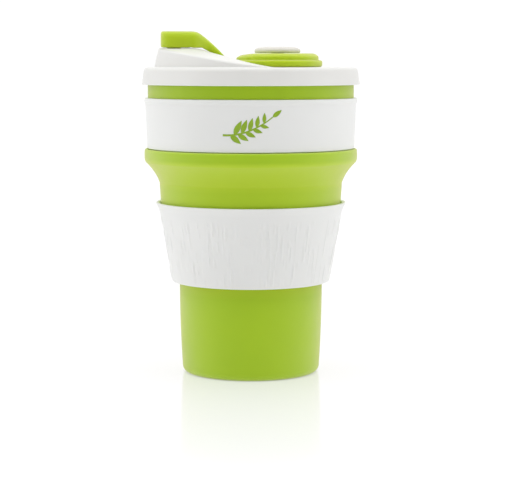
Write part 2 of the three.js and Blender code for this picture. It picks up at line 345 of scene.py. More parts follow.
def plastic(name, dark, light, roughness, grain):
    """Satin polypropylene: a faint orange-peel flow texture and slightly uneven gloss."""
    material, tree, shader = new_material(name)
    varied_colour(tree, shader, noise(tree, scale=30, detail=2), dark, light)
    gloss = noise(tree, scale=120, detail=4)
    varied_roughness(tree, shader, gloss, roughness - 0.05, roughness + 0.06)
    peel = noise(tree, scale=900, detail=2)
    fine = noise(tree, scale=3800, detail=1)
    surface_bump(tree, shader, [peel, fine], grain)
    shader.inputs["Subsurface Weight"].default_value = 0.12
    shader.inputs["Subsurface Radius"].default_value = (1.0, 0.95, 0.85)
    shader.inputs["Subsurface Scale"].default_value = 1.0 * MM
    return material


def ink(name, dark, light):
    """Pad-printed ink, a little blotchy and glossier than what it is printed on."""
    material, tree, shader = new_material(name)
    varied_colour(tree, shader, noise(tree, scale=500, detail=4), dark, light)
    varied_roughness(tree, shader, noise(tree, scale=700, detail=3), 0.3, 0.42)
    surface_bump(tree, shader, [noise(tree, scale=2400, detail=2)], 0.006 * MM)
    return material


# The cup's third, lighter tint is painted light: the wall and upper fold above the grip sleeve are painted
# brighter, and so is the foot just under the sleeve, where the sleeve's shade falls.
CUP_GREEN = silicone(
    "cup_silicone",
    dark=(0.370, 0.594, 0.001),
    light=(0.394, 0.620, 0.002),
    painted_light=(0.470, 0.668, 0.012),
)
STOPPER_GREEN = silicone(
    "stopper_silicone",
    dark=(0.465, 0.640, 0.001),
    light=(0.490, 0.665, 0.002),
)
COOL_WHITE = {"dark": (0.83, 0.835, 0.82), "light": (0.86, 0.865, 0.85)}
BAND_WHITE = plastic("band_plastic", **COOL_WHITE, roughness=0.42, grain=0.006 * MM)
SLEEVE_WHITE = plastic("sleeve_plastic", **COOL_WHITE, roughness=0.46, grain=0.008 * MM)
LID_WHITE = plastic(
    "lid_plastic",
    dark=(0.805, 0.80, 0.775),
    light=(0.835, 0.83, 0.805),
    roughness=0.36,
    grain=0.006 * MM,
)
BUTTON_WHITE = plastic(
    "button_plastic",
    dark=(0.73, 0.705, 0.645),
    light=(0.76, 0.735, 0.675),
    roughness=0.34,
    grain=0.005 * MM,
)
PRINT_GREEN = ink("printed_ink", dark=(0.25, 0.41, 0.010), light=(0.29, 0.46, 0.014))


# ---- Silicone body ----

# The seam between the two visual pieces of the body, at the crease under the sleeve's lip.
SEAM_Z = MIDDLE_BOTTOM + 6.4 * MM
SEAM_OUTER = SEAT_RADIUS + 1.2 * MM
SEAM_INNER = SEAM_OUTER - 1.7 * MM
FOLD_STEPS = 30


def curve_corners(start, corner, end, steps=FOLD_STEPS):
    """A bend as outline corners with nothing cut off."""
    return [(r, z, 0) for r, z in bend(start, corner, end, steps)]


def mark_painted_light(piece, rise, fall, below=0.0):
    """Stores where painted light goes, for the material to show it lighter. The share goes from below to 1
    between the two heights of rise, and from there to 0 between the two heights of fall."""
    z = np.array([vertex.co.z for vertex in piece.data.vertices])
    painted_light = below + (1 - below) * smooth_step(z, *rise)
    painted_light *= 1 - smooth_step(z, *fall)
    layer = piece.data.attributes.new(PAINTED_LIGHT_ATTRIBUTE, "FLOAT", "POINT")
    layer.data.foreach_set("value", painted_light)


def body_foot():
    """The foot, the lower fold and the part of the middle section hidden by the grip sleeve."""
    base = FOOT_RADIUS - 1.3 * MM
    base_corner = 3.3 * MM
    belly = FOOT_RADIUS - 0.2 * MM
    belly_height = 20 * MM
    wall_start = 4 * MM
    recess = 0.8 * MM
    recess_radius = 18.5 * MM
    inside = FOOT_RADIUS - WALL
    floor_radius = FOOT_RADIUS - 1.4 * MM - WALL
    floor_top = 3.2 * MM
    fold_inner = SEAT_RADIUS - FOLD_WALL - 0.3 * MM
    straight_share = 0.28
    fold_turn = FOOT_TOP + (MIDDLE_BOTTOM - FOOT_TOP) * straight_share
    corners = [
        (0, recess, 0),
        (recess_radius, recess, 0.5 * MM),
        (recess_radius + 1 * MM, FOOT_BOTTOM, 0.5 * MM),
        *curve_corners((base - base_corner, FOOT_BOTTOM), (base, FOOT_BOTTOM), (base, base_corner), 8),
        *curve_corners((base + 0.02 * MM, wall_start), (belly, belly_height), (belly, FOOT_TOP), 10),
        *curve_corners((belly, FOOT_TOP), (belly, fold_turn), (SEAT_RADIUS, MIDDLE_BOTTOM)),
        (SEAM_OUTER, SEAM_Z, 0),
        (SEAM_INNER, SEAM_Z, 0),
        *curve_corners((fold_inner, MIDDLE_BOTTOM), (inside, fold_turn + FOLD_WALL), (inside, FOOT_TOP)),
        (floor_radius, floor_top, 3.0 * MM),
        (0, floor_top, 0),
    ]
    piece = revolve("body_foot", rounded(corners, False), CUP_GREEN, False)
    # Painted light on the foot just under the grip sleeve, which paints out the sleeve's shade there.
    rise = (SLEEVE_BOTTOM - 4.8 * MM, SLEEVE_BOTTOM - 0.4 * MM)
    mark_painted_light(piece, rise, fall=(MIDDLE_BOTTOM, SEAM_Z))
    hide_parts("lower_cup", "lower_fold")
    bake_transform(piece)


def body_upper():
    """The exposed middle section, the upper fold, the bead, the band's seat, the neck and the rim."""
    ledge = MIDDLE_BOTTOM + 9.4 * MM
    bead_bottom = UPPER_BOTTOM + 0.3 * MM
    groove = BAND_BOTTOM + 0.15 * MM
    neck_bottom = BAND_TOP + 0.02 * MM
    rim = NECK_RADIUS + 0.5 * MM
    fold_outer = [
        (MIDDLE_RADIUS - 0.3 * MM, MIDDLE_TOP + 0.5 * MM),
        (MIDDLE_RADIUS + 1.3 * MM, MIDDLE_TOP + 5.2 * MM),
        (FOLD_RADIUS - 0.3 * MM, UPPER_BOTTOM - 0.4 * MM),
    ]
    fold_inner = [
        (FOLD_RADIUS - FOLD_WALL - 0.3 * MM, UPPER_BOTTOM),
        (MIDDLE_RADIUS - 0.9 * MM, MIDDLE_TOP + 5.7 * MM),
        (MIDDLE_RADIUS - WALL, MIDDLE_TOP),
    ]
    corners = [
        (SEAM_OUTER, SEAM_Z, 0),
        (MIDDLE_RADIUS - 0.9 * MM, ledge, 0.8 * MM),
        *curve_corners(*fold_outer),
        (BEAD_RADIUS - 0.3 * MM, bead_bottom + 0.3 * MM, 0.6 * MM),
        (BEAD_RADIUS - 0.2 * MM, bead_bottom + 2.2 * MM, 1.2 * MM),
        (BEAD_RADIUS - 0.35 * MM, groove - 0.2 * MM, 1.0 * MM),
        (BEAD_RADIUS - 1.6 * MM, groove, 0.4 * MM),
        (BAND_SEAT, groove, 0.2 * MM),
        (BAND_SEAT, neck_bottom, 0.2 * MM),
        (NECK_RADIUS, neck_bottom, 0.15 * MM),
        (NECK_RADIUS, RIM_TOP - 2.6 * MM, 0.3 * MM),
        (rim, RIM_TOP - 2.0 * MM, 0.3 * MM),
        (rim, RIM_TOP, 1.0 * MM),
        (RIM_INNER, RIM_TOP, 1.0 * MM),
        (RIM_INNER, neck_bottom, 2.0 * MM),
        (RIM_INNER - 0.2 * MM, BAND_BOTTOM + 4.3 * MM, 2.0 * MM),
        (RIM_INNER + 0.2 * MM, BAND_BOTTOM + 0.9 * MM, 1.0 * MM),
        (RIM_INNER + 1.9 * MM, UPPER_BOTTOM + 2.8 * MM, 1.0 * MM),
        *curve_corners(*fold_inner),
        (MIDDLE_RADIUS - 2.9 * MM, ledge, 1.0 * MM),
        (SEAM_INNER, SEAM_Z, 0),
    ]
    piece = revolve("body_upper", rounded(corners, True), CUP_GREEN, True)
    # Painted light on the wall and upper fold: half of it from the seam up, all of it from the middle
    # section's top over the fold, fading out at the bead's foot.
    rise = (MIDDLE_TOP - 0.6 * MM, MIDDLE_TOP + 0.4 * MM)
    fall = (UPPER_BOTTOM - 0.4 * MM, UPPER_BOTTOM + 1.8 * MM)
    mark_painted_light(piece, rise, fall, below=0.5)
    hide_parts("middle_wall", "upper_fold", "upper_wall")
    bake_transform(piece)


# ---- Band and sleeve ----


def band_surface(z):
    """Outer radius of the band's plain face at a height."""
    share = (z - BAND_BOTTOM) / (BAND_TOP - BAND_BOTTOM)
    return BAND_RADIUS - 0.9 * MM + 0.75 * MM * share


def upper_band():
    """The stiff band: a slightly tapered ring with a slim lip round its top edge."""
    inner = BAND_SEAT + 0.2 * MM
    bottom = BAND_BOTTOM + 0.35 * MM
    lip_bottom = BAND_TOP - 1.5 * MM
    lip_radius = BAND_RADIUS + 0.2 * MM
    face_top = lip_bottom - 0.7 * MM
    corners = [
        (inner, bottom, 0.2 * MM),
        (band_surface(bottom), bottom, 0.3 * MM),
        (band_surface(face_top), face_top, 0.5 * MM),
        (lip_radius, lip_bottom, 0.4 * MM),
        (lip_radius, BAND_TOP, 0.5 * MM),
        (inner, BAND_TOP, 0.2 * MM),
    ]
    piece = revolve("upper_band_ring", rounded(corners, True), BAND_WHITE, True)
    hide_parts("upper_band")
    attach(piece, "upper")


SLEEVE_COLUMNS = 1024
SLEEVE_ROWS = 68
SLEEVE_WALL = 1.5 * MM

# The grain: how many strokes, their half lengths and the share of each, their heights (in mm, one of
# them sunk), the sleeve radius at which their widths are true, and the lowest and highest relief.
GRAIN_SEED = 29
GRAIN_STROKES = 430
STROKE_HALF_LENGTHS = [1.2, 2.2, 3.5, 6.0]
STROKE_SHARES = [0.2, 0.3, 0.3, 0.2]
STROKE_HEIGHTS = [0.26, 0.20, -0.12]
GRAIN_RADIUS = 35 * MM
GRAIN_LOWEST = -0.25 * MM
GRAIN_HIGHEST = 0.29 * MM


def sleeve_outer(z):
    """Outer radius of the sleeve: a cone that opens upwards, a little faster near its top, then the lip."""
    up = z - SLEEVE_BOTTOM
    bottom_radius, draft = SLEEVE_RADIUS - 6.45 * MM, 0.169
    swell_start, swell_length, swell_depth = 20 * MM, 12.65 * MM, 0.45 * MM
    lip_start, lip_depth, lip_power = 29.2 * MM, 0.85 * MM, 1.6
    cone = bottom_radius + draft * up
    swell = swell_depth * np.clip((up - swell_start) / swell_length, 0, None) ** 2
    lip_share = (up - lip_start) / (SLEEVE_TOP - SLEEVE_BOTTOM - lip_start)
    return cone + swell + lip_depth * np.clip(lip_share, 0, 1) ** lip_power


def grain_relief(turn, z):
    """Height of the sleeve's moulded grain: long and short upright strokes, some raised and some sunk."""
    random = np.random.default_rng(GRAIN_SEED)
    top, bottom = SLEEVE_TOP - 5.2 * MM, SLEEVE_BOTTOM + 0.8 * MM
    top_fade, bottom_fade = 1.5 * MM, 0.8 * MM
    relief = np.zeros((len(z), len(turn)))
    for _ in range(GRAIN_STROKES):
        centre = random.uniform(0, 2 * math.pi)
        middle = random.uniform(bottom, top)
        half_length = random.choice(STROKE_HALF_LENGTHS, p=STROKE_SHARES) * MM
        half_width = random.uniform(0.28, 0.55) * MM
        height = random.choice(STROKE_HEIGHTS) * random.uniform(0.5, 1.0) * MM
        lean = random.normal(0, 0.012)
        along = (z - middle) / half_length
        rows = np.abs(along) < 1
        offset = (turn - centre + math.pi) % (2 * math.pi) - math.pi
        across = (offset[None, :] * GRAIN_RADIUS - lean * (z[rows, None] - middle)) / half_width
        stroke = np.exp(-(across**4)) * (1 - along[rows, None] ** 6)
        relief[rows] += height * stroke
    fade = np.clip((top - z) / top_fade, 0, 1) * np.clip((z - bottom) / bottom_fade, 0, 1)
    return np.clip(relief, GRAIN_LOWEST, GRAIN_HIGHEST) * fade[:, None]


def grip_sleeve():
    """The grip sleeve, its outside covered with moulded grain below a plain margin."""
    turn = np.linspace(0, 2 * math.pi, SLEEVE_COLUMNS, endpoint=False)
    around = np.column_stack([np.cos(turn), np.sin(turn)])
    face_bottom, face_top = SLEEVE_BOTTOM + 0.9 * MM, SLEEVE_TOP - 0.5 * MM
    z = np.linspace(face_bottom, face_top, SLEEVE_ROWS)
    radius = sleeve_outer(z)[:, None] + grain_relief(turn, z)
    outside = [np.column_stack([around * r[:, None], np.full(len(turn), h)]) for r, h in zip(radius, z)]
    rim = sleeve_outer(face_top)
    foot = sleeve_outer(face_bottom)
    inner_z = np.linspace(face_top, SLEEVE_BOTTOM + 0.3 * MM, 9)
    inside = [(sleeve_outer(h) - SLEEVE_WALL, h) for h in inner_z]
    top_outer = bend((rim, face_top), (rim + 0.1 * MM, SLEEVE_TOP), (rim - 0.4 * MM, SLEEVE_TOP), 4)
    top_inner = bend((rim - 0.8 * MM, SLEEVE_TOP), (inside[0][0], SLEEVE_TOP), inside[0], 3)
    under = (inside[-1][0] + 0.2 * MM, SLEEVE_BOTTOM)
    bottom_outer = bend((foot - 0.9 * MM, SLEEVE_BOTTOM), (foot, SLEEVE_BOTTOM), (foot, face_bottom), 5)
    turned = [*top_outer[1:], *top_inner[:-1], *inside, under, *bottom_outer[:-1]]
    rings = outside + [ring_at(r, h, SLEEVE_COLUMNS) for r, h in turned]
    piece = skin("grip_sleeve_ring", rings, SLEEVE_WHITE)
    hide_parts("grip_sleeve")
    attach(piece, "middle")


# ---- Printed mark ----

STEM_STEPS = 40
LEAF_PAIRS = 5
PRINT_THICKNESS = 0.07 * MM


def on_band(across, up):
    """A point of the band's face: across from its front middle, up from its middle height."""
    z = (BAND_BOTTOM + BAND_TOP) / 2 + up
    radius = band_surface(z) + 0.04 * MM
    angle = across / radius - math.pi / 2
    return np.array([radius * np.cos(angle), radius * np.sin(angle), z])


def leaf(base, direction, length, width, steps=14, ribs=4):
    """Rows of points across one leaf, which is widest just below its middle and blunt at both ends."""
    along = np.array([math.cos(direction), math.sin(direction)])
    side = np.array([-along[1], along[0]])
    blunt = 0.02
    rows = []
    for share in np.linspace(blunt, 1 - blunt, steps):
        half = width / 2 * math.sin(math.pi * share**0.8)
        middle = np.array(base) + along * length * share
        rows.append([middle + side * half * t for t in np.linspace(-1, 1, ribs)])
    return rows


def stem(points, width):
    """Rows of two points across a narrow strip along a curve, which tapers to half its width."""
    rows = []
    for i, point in enumerate(points):
        ahead = points[min(i + 1, len(points) - 1)] - points[max(i - 1, 0)]
        side = np.array([-ahead[1], ahead[0]]) / np.linalg.norm(ahead)
        taper = width * (1 - 0.5 * i / len(points))
        rows.append([point + side * taper * t for t in (-0.5, 0.5)])
    return rows


def sprig():
    """The mark's stem, its pairs of leaves that get smaller along it, and the leaf at its end. The lower
    leaf of a pair leaves the stem half a pair's spacing before the upper one."""
    spine = bend((-11 * MM, -3.2 * MM), (-1 * MM, -3.8 * MM), (8.6 * MM, 3.8 * MM), STEM_STEPS)
    first_pair, spacing = 9, 6
    upper_turn, lower_turn, end_direction = 0.95, -0.8, 0.65
    patches = [stem(spine, 0.8 * MM)]
    for k in range(LEAF_PAIRS):
        joint = first_pair + spacing * k
        heading = math.atan2(*(spine[joint + 1] - spine[joint - 1])[::-1])
        size = (6.4 - 0.55 * k) * MM
        patches.append(leaf(spine[joint], heading + upper_turn, size, 0.36 * size))
        lower_joint = joint - spacing // 2
        patches.append(leaf(spine[lower_joint], heading + lower_turn, 0.85 * size, 0.34 * size))
    patches.append(leaf(spine[-1], end_direction, 4.6 * MM, 1.8 * MM))
    return patches


def printed_mark():
    """A generic sprig of leaves, printed on the front of the band."""
    points, faces = [], []
    for rows in sprig():
        start, ribs = len(points), len(rows[0])
        points.extend(on_band(u, v) for row in rows for u, v in row)
        for i in range(len(rows) - 1):
            for j in range(ribs - 1):
                a = start + i * ribs + j
                faces.append((a, a + ribs, a + ribs + 1, a + 1))
    piece = mesh_piece("printed_mark", points, faces, PRINT_GREEN)
    thicken = piece.modifiers.new("thickness", "SOLIDIFY")
    thicken.thickness = PRINT_THICKNESS
    thicken.offset = 0
    apply_modifiers(piece)
    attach(piece, "upper")


# ---- Lid ----

LID_COLUMNS = 400
POCKET_RADIUS = DISC_RADIUS + 0.8 * MM

# The crown rises on a ramp towards -X, to CROWN_HEIGHT along its middle and CREASE_HEIGHT at its sides.
CROWN_RADIUS = LID_RADIUS - 5.2 * MM
CROWN_DRAFT = 0.21
CROWN_HEIGHT = CROWN_TOP - LID_FLAT
CREASE_HEIGHT = 0.585 * CROWN_HEIGHT
RAMP_FOOT = 10 * MM
RAMP_LENGTH = 32 * MM
RAMP_POWER = 1.2

# The strap's channel: half its width, how wide the bend at its edge is, and its sloping floor.
CHANNEL_HALF = 4.5 * MM
CHANNEL_EDGE = 0.4 * MM
CHANNEL_START = -9 * MM
CHANNEL_LOW = 1.5 * MM
CHANNEL_SLOPE = 0.56


def crown_rise(x):
    """0 at the ramp's foot, 1 at the start of the crown's flat top, and more beyond it."""
    return (np.clip(RAMP_FOOT - x, 0, None) / RAMP_LENGTH) ** RAMP_POWER


def channel_floor(x):
    """Height above the lid's flat of the floor of the channel that the strap lies in."""
    return CHANNEL_LOW + CHANNEL_SLOPE * (CHANNEL_START - x)


def crown_surface(x, y):
    """Height of the crown's domed top, with the strap's channel sunk into it."""
    rise = crown_rise(x)
    softness = 0.05
    ridge = CROWN_HEIGHT * (1 + rise - np.sqrt((1 - rise) ** 2 + softness**2)) / 2
    crease = CREASE_HEIGHT * rise
    dome_radius, narrowest = CROWN_RADIUS - 1 * MM, 1 * MM
    half_width = np.sqrt(np.clip(dome_radius**2 - x * x, narrowest**2, None))
    across = np.clip(np.abs(y) / half_width, 0, 1)
    dome = LID_FLAT + np.clip(ridge + (crease - ridge) * across**2, 0, None)
    sunk = np.minimum(dome, LID_FLAT + np.clip(channel_floor(x), 0, None))
    inside = 1 - smooth_step(np.abs(y), CHANNEL_HALF - CHANNEL_EDGE / 2, CHANNEL_HALF + CHANNEL_EDGE / 2)
    return dome + (sunk - dome) * inside


def lid_columns():
    """Directions of the lid's columns from the pocket's centre, closest together at the strap's channel."""
    even = np.linspace(0, 2 * math.pi, LID_COLUMNS, endpoint=False)
    gathering = 0.5
    return even + gathering * np.sin(even)


def from_pocket(radius):
    """Plan points at a radius from the pocket's centre."""
    turn = lid_columns()
    return np.column_stack([DISC_X + radius * np.cos(turn), radius * np.sin(turn)])


def on_circle(radius):
    """Plan points on a circle round the cup's axis, where the columns from the pocket's centre meet it."""
    turn = lid_columns()
    along = DISC_X * np.cos(turn)
    reach = -along + np.sqrt(along**2 - DISC_X**2 + radius**2)
    return np.column_stack([DISC_X + reach * np.cos(turn), reach * np.sin(turn)])


def lid_ring(plan, z):
    """A ring from plan points and either one height or a height for each."""
    return np.column_stack([plan, np.broadcast_to(z, len(plan))])


def pocket_wall_rings(radius, flat, lip):
    """Rings up the pocket's wall, which leans out a little, from the flat inside it towards its lip."""
    inset, lean = 0.3 * MM, 0.05 * MM
    rings = [lid_ring(from_pocket(radius - inset), flat)]
    for share in (0.0, 0.12, 0.5, 0.88):
        plan = from_pocket(radius - lean * (1 - share))
        rings.append(lid_ring(plan, flat + (lip - flat) * share))
    return rings


def crown_wall_rings(outer, flat, top, fillet):
    """Rings round the crown's top corner, down its drafted wall and round the cove at its foot. Corner
    and cove are lower where the crown is low."""
    corner_height, cove_height, cove_width = 0.75 * MM, 0.35 * MM, 0.5 * MM
    height = top - flat
    corner_up = np.minimum(corner_height, 0.33 * height)
    cove_up = np.minimum(cove_height, 0.2 * height)
    rings = []
    for turn in np.linspace(math.pi / 2, 0, 7)[1:]:
        z = top - corner_up * (1 - math.sin(turn))
        radius = outer - fillet * (1 - math.cos(turn)) - CROWN_DRAFT * (z - flat)
        rings.append(lid_ring(on_circle(radius), z))
    for share in (0.66, 0.33):
        z = flat + cove_up + (height - corner_up - cove_up) * share
        radius = outer - CROWN_DRAFT * (z - flat) + 0.02 * MM * (1 - share)
        rings.append(lid_ring(on_circle(radius), z))
    for turn in np.linspace(0, math.pi / 2, 5):
        z = flat + cove_up * (1 - math.sin(turn))
        radius = outer + 0.03 * MM + cove_width * (1 - math.cos(turn))
        rings.append(lid_ring(on_circle(radius), z))
    return rings


def crown_rings(drop, count):
    """Rings from the pocket's edge over the crown's top, and down the crown's wall. drop lowers and
    shrinks it all, which gives the underside of the same crown."""
    fillet = 0.85 * MM
    first_share = 0.012
    flat = LID_FLAT - drop
    outer = CROWN_RADIUS - drop
    pocket_radius = POCKET_RADIUS + drop
    pocket = from_pocket(pocket_radius)
    crest = on_circle(outer - fillet - 0.25 * MM - CROWN_DRAFT * 0.5 * CROWN_HEIGHT)
    rings = pocket_wall_rings(pocket_radius, flat, crown_surface(*pocket.T) - drop)
    for t in np.linspace(0, 1, count) ** 0.9:
        plan = pocket + (crest - pocket) * (first_share + (1 - first_share) * t)
        rings.append(lid_ring(plan, crown_surface(*plan.T) - drop))
    return rings + crown_wall_rings(outer, flat, crown_surface(*crest.T) - drop, fillet)


def lid_shell():
    """The lid in one closed skin: hole, pocket, crown, flat rim, skirt, sealing ring and underside."""
    under = LID_FLAT - LID_WALL
    seal_outer, seal_inner = RIM_INNER - 0.4 * MM, RIM_INNER - 1.7 * MM
    seal_bottom = LID_BOTTOM + 0.8 * MM
    skirt_inner = LID_RADIUS - 1.6 * MM
    skirt_corners = [
        (CROWN_RADIUS + 0.7 * MM, LID_FLAT, 0),
        (LID_RADIUS - 1.0 * MM, LID_FLAT, 1.9 * MM),
        (LID_RADIUS - 0.45 * MM, LID_BOTTOM + 3 * MM, 1.2 * MM),
        (LID_RADIUS, LID_BOTTOM + 0.5 * MM, 0.4 * MM),
        (LID_RADIUS - 0.1 * MM, LID_BOTTOM, 0.2 * MM),
        (skirt_inner, LID_BOTTOM, 0.4 * MM),
        (skirt_inner, under, 0.4 * MM),
        (seal_outer, under, 0.4 * MM),
        (seal_outer, seal_bottom, 0.5 * MM),
        (seal_inner, seal_bottom, 0.3 * MM),
        (seal_inner, under, 0.3 * MM),
    ]
    skirt = refined(rounded(skirt_corners, False), False, 1.2 * MM)
    pocket_radii = np.linspace(BUTTON_HOLE + 0.2 * MM, POCKET_RADIUS - 0.6 * MM, 9)
    underside_radii = np.linspace(POCKET_RADIUS + LID_WALL - 1 * MM, BUTTON_HOLE, 6)
    rings = [lid_ring(from_pocket(r), LID_FLAT) for r in pocket_radii]
    rings += crown_rings(0.0, 46)
    rings += [lid_ring(on_circle(r), z) for r, z in skirt]
    rings += crown_rings(LID_WALL, 30)[::-1]
    rings += [lid_ring(from_pocket(r), under) for r in underside_radii]
    piece = skin("lid_cap", [ring[::-1] for ring in rings], LID_WHITE)
    cut_holes(piece)
    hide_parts("lid_shell")
    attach(piece, "lid")


SIP_X = -31.5 * MM
SIP_LENGTH = 6.4 * MM
SIP_WIDTH = 13 * MM
VENT_X = 35 * MM
VENT_RADIUS = 0.9 * MM


def slot_plan(length, width, steps=14):
    """Outline of a slot with round ends, longer in Y, as offsets from its centre."""
    end = length / 2
    straight = width / 2 - end
    turn = np.linspace(0, math.pi, steps)
    upper = np.column_stack([end * np.cos(turn), straight + end * np.sin(turn)])
    return np.concatenate([upper, -upper])


def prism(name, plan, centre_x, stages, material):
    """A closed upright prism of a plan outline through stages (height, widening)."""
    outward = plan / np.linalg.norm(plan, axis=1)[:, None]
    rings = []
    for z, widen in stages:
        flat = plan + outward * widen
        rings.append(np.column_stack([flat[:, 0] + centre_x, flat[:, 1], np.full(len(flat), z)]))
    poles = [(centre_x, 0, stages[0][0]), (centre_x, 0, stages[-1][0])]
    return skin(name, rings, material, poles)


def cut_holes(lid):
    """Cuts the sip hole, with a flared mouth, and the small vent hole. The vent's plan is a hair longer
    in Y, so that its two halves share no points."""
    sip_stages = [
        (CROWN_TOP - 6 * MM, 0),
        (CROWN_TOP - 0.7 * MM, 0),
        (CROWN_TOP, 0.35 * MM),
        (CROWN_TOP + 2 * MM, 1.2 * MM),
    ]
    vent_stages = [
        (LID_FLAT - 4 * MM, 0),
        (LID_FLAT - 0.25 * MM, 0),
        (LID_FLAT + 1 * MM, 1.0 * MM),
    ]
    vent_plan = slot_plan(2 * VENT_RADIUS, 2.001 * VENT_RADIUS)
    sip = prism("sip_cutter", slot_plan(SIP_LENGTH, SIP_WIDTH), SIP_X, sip_stages, LID_WHITE)
    vent = prism("vent_cutter", vent_plan, VENT_X, vent_stages, LID_WHITE)
    for cutter in (sip, vent):
        add_boolean(lid, cutter, "DIFFERENCE")
        apply_modifiers(lid)
        bpy.data.objects.remove(cutter)


# ---- Stopper and button ----

# The grid on which the stopper's parts are fused into one skin.
VOXEL = 0.22 * MM

# As far as SETTLED_TO the head's underside follows the crown's dome. The strap goes on to STRAP_END,
# inside the disc.
HEAD_TOP = HEAD_HIGH.z
HEAD_BOTTOM = CROWN_TOP + 0.3 * MM
HEAD_LEFT = HEAD_LOW.x
HEAD_HALF = HEAD_HIGH.y
SETTLED_TO = -24 * MM
STRAP_HALF = STRAP_HIGH.y - 0.2 * MM
STRAP_TOP = LID_FLAT + 3.15 * MM
STRAP_END = -3.5 * MM
STATIONS = 110


def stopper_disc():
    """The disc's two tiers. The upper one slopes down a little towards the strap."""
    step = DISC_BOTTOM + 2.75 * MM
    upper = DISC_RADIUS - 1.65 * MM
    corners = [
        (BUTTON_HOLE, DISC_BOTTOM, 0),
        (DISC_RADIUS - 0.1 * MM, DISC_BOTTOM, 0.9 * MM),
        (DISC_RADIUS, step - 0.1 * MM, 0.95 * MM),
        (upper, step, 0.3 * MM),
        (upper + 0.1 * MM, DISC_TOP - 1.3 * MM, 0.6 * MM),
        (upper - 1.6 * MM, DISC_TOP - 0.08 * MM, 1.6 * MM),
        (BUTTON_HOLE, DISC_TOP - 0.1 * MM, 0),
    ]
    piece = revolve("stopper_disc_form", rounded(corners, True), STOPPER_GREEN, True, DISC_X, 160)
    left = DISC_X - upper
    slope_start = 3 * MM
    slope_drop = 1.0 * MM
    for vertex in piece.data.vertices:
        if vertex.co.z > step + 0.4 * MM:
            away = np.clip((slope_start - vertex.co.x) / (slope_start - left), 0, 1)
            share = (vertex.co.z - step) / (DISC_TOP - step)
            vertex.co.z -= slope_drop * float(away) ** 1.5 * share
    return piece


def head_top(x):
    """Top of the head and strap in side view: flat, then a shoulder, then a slope into the channel."""
    shoulder_x, shoulder_drop, softness = -19.2 * MM, 2.15 * MM, 0.9 * MM
    gradient, steepening = 0.80, 17
    along = x - shoulder_x
    slope = HEAD_TOP - shoulder_drop - gradient * along - steepening * max(along, 0) ** 2
    flat = HEAD_TOP - 0.05 * MM
    blended = (flat + slope - math.sqrt((flat - slope) ** 2 + softness**2)) / 2
    return max(blended, STRAP_TOP)


def head_bottom(x):
    """Underside in side view: flat on the crown with a shallow notch, then following the channel."""
    notch_from, notch_to, notch_depth = -25.3 * MM, -24.1 * MM, 0.2 * MM
    flat_to = -21 * MM
    if x < flat_to:
        return HEAD_BOTTOM + (notch_depth if notch_from < x < notch_to else 0)
    over_channel = channel_floor(x) + 0.35 * MM
    inside_disc = 1.75 * MM
    return LID_FLAT + min(max(over_channel, inside_disc), HEAD_BOTTOM - LID_FLAT)


def head_half_width(x):
    """Half the width in plan: a rounded end, straight sides, and a taper to the strap."""
    corner = 4.5 * MM
    inset = max(0.0, corner - (x - HEAD_LEFT))
    end = corner - math.sqrt(max(0.0, corner**2 - inset**2))
    taper_start, taper_end = -23.5 * MM, -16.5 * MM
    taper = float(smooth_step(np.array(x), taper_start, taper_end))
    return HEAD_HALF - end + (STRAP_HALF - HEAD_HALF) * taper


def head_section(x, shrink):
    """One upright cross-section of the head or strap, with rounded corners. Its lower part sags at the
    sides with the crown's dome, and from SETTLED_TO on towards the disc that sag stays the same."""
    half = head_half_width(x) - shrink
    top, bottom = head_top(x) - shrink, head_bottom(x) + shrink
    crest = min(3.0 * MM, 0.5 * (top - bottom))
    foot = min(0.5 * MM, 0.3 * (top - bottom))
    corners = [(half, bottom, foot), (half, top, crest), (-half, top, crest), (-half, bottom, foot)]
    y, z = rounded(corners, True, 6).T
    sag = crown_surface(np.full(len(y), min(x, SETTLED_TO)), y) - crown_surface(SETTLED_TO, 0.0)
    z = z + np.minimum(sag, 0) * (1 - smooth_step(z, bottom, top))
    return np.column_stack([np.full(len(y), x), y, z])


def stopper_head():
    """The head and strap, lofted along X, from the thumb end to inside the disc."""
    stations = [
        (HEAD_LEFT + 0.05 * MM, 0.7 * MM),
        (HEAD_LEFT + 0.2 * MM, 0.3 * MM),
        (HEAD_LEFT + 0.6 * MM, 0),
    ]
    stations += [(x, 0) for x in np.linspace(HEAD_LEFT + 1.1 * MM, STRAP_END, STATIONS)]
    sections = [head_section(x, shrink) for x, shrink in stations]
    ends = [sections[0].mean(axis=0), sections[-1].mean(axis=0)]
    return skin("stopper_head_form", sections, STOPPER_GREEN, ends)


def stopper_plug():
    """The plug under the head, slightly rounded at its foot, that fills the sip hole."""
    clearance = 1.1 * MM
    plan = slot_plan(SIP_LENGTH - clearance, SIP_WIDTH - clearance)
    foot = CROWN_TOP - 3.3 * MM
    stages = [
        (foot, -1.0 * MM),
        (foot + 0.25 * MM, -0.35 * MM),
        (foot + 0.9 * MM, 0),
        (HEAD_BOTTOM + 2 * MM, 0),
    ]
    return prism("stopper_plug_form", plan, SIP_X, stages, STOPPER_GREEN)


def stopper():
    """Disc, strap, head and plug as one moulding, with the soft edges that silicone has."""
    piece = stopper_disc()
    others = [stopper_head(), stopper_plug()]
    piece.name = "stopper"
    for other in others:
        add_boolean(piece, other, "UNION")
    remesh = piece.modifiers.new("remesh", "REMESH")
    remesh.mode = "VOXEL"
    remesh.voxel_size = VOXEL
    soften = piece.modifiers.new("soften", "SMOOTH")
    soften.factor = 0.5
    soften.iterations = 5
    apply_modifiers(piece)
    for other in others:
        bpy.data.objects.remove(other)
    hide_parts("stopper_disc", "stopper_strap", "stopper_head")
    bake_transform(piece)


